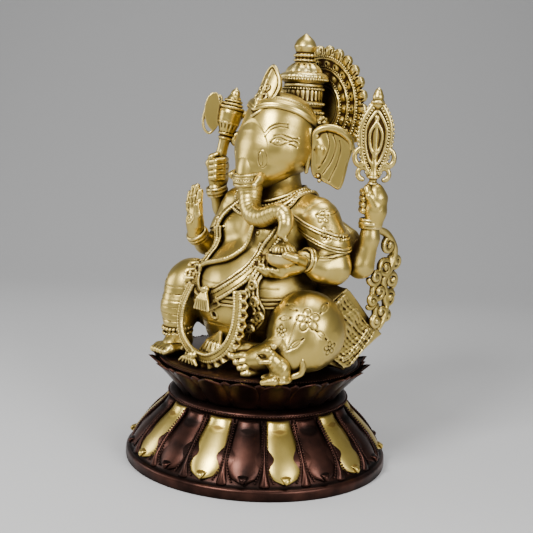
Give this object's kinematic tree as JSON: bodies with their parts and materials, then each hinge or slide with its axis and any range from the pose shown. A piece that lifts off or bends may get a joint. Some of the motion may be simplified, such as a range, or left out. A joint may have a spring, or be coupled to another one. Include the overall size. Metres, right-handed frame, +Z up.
{
  "type": "ganesha idol",
  "caption": "Seated four-armed elephant-headed deity cast in brass, with halo, on a two-tier lotus pedestal.",
  "frame": {"origin": "centre of the pedestal's underside, on the surface it stands on", "axes": "+Z up; the figure faces -Y and its own left hand is towards +X"},
  "size_m": [0.34, 0.34, 0.549],
  "materials": {
    "antique_brass": "cast brass, burnished on the high places with a dark brown wash in the hollows",
    "polished_brass": "polished yellow brass",
    "dark_patina": "near-black brown patina on cast brass, worn to copper red on the edges",
    "steel": "plain zinc-plated fasteners"
  },
  "bodies": {
    "root": {"anklets": "antique_brass", "armlets": "antique_brass", "axe": "antique_brass", "bolster": "antique_brass", "bolster_drapes": "antique_brass", "bowl": "antique_brass", "bracelets": "antique_brass", "collar": "antique_brass", "crest_leaf": "antique_brass", "crown_dome": "antique_brass", "crown_drum": "antique_brass", "crown_finial": "antique_brass", "crown_lip": "antique_brass", "crown_rosettes": "antique_brass", "dark_petals": "dark_patina", "dhoti_pleats": "antique_brass", "diadem": "antique_brass", "gilt_petals": "polished_brass", "halo_disc": "antique_brass", "halo_leaves": "antique_brass", "halo_nut": "steel", "halo_rings": "antique_brass", "halo_stud": "steel", "head": "antique_brass", "left_ear": "antique_brass", "left_front_arm": "antique_brass", "left_front_hand": "antique_brass", "left_leg": "antique_brass", "left_rear_arm": "antique_brass", "left_rear_hand": "antique_brass", "left_scarf_scroll": "antique_brass", "lower_lotus": "dark_patina", "lower_shawl": "antique_brass", "mouse": "antique_brass", "naga_thread": "antique_brass", "noose": "antique_brass", "right_ear": "antique_brass", "right_front_arm": "antique_brass", "right_front_hand": "antique_brass", "right_leg": "antique_brass", "right_rear_arm": "antique_brass", "right_rear_hand": "antique_brass", "right_scarf_scroll": "antique_brass", "seat_plate": "dark_patina", "shawl_tassels": "antique_brass", "sweets": "antique_brass", "tie_bolt": "steel", "tie_washer": "steel", "torso": "antique_brass", "trunk": "antique_brass", "trunk_band": "antique_brass", "tusks": "antique_brass", "upper_lotus": "dark_patina", "upper_petals": "dark_patina", "upper_shawl": "antique_brass", "waist_belt": "antique_brass", "waist_moulding": "dark_patina"}
  },
  "joints": []
}
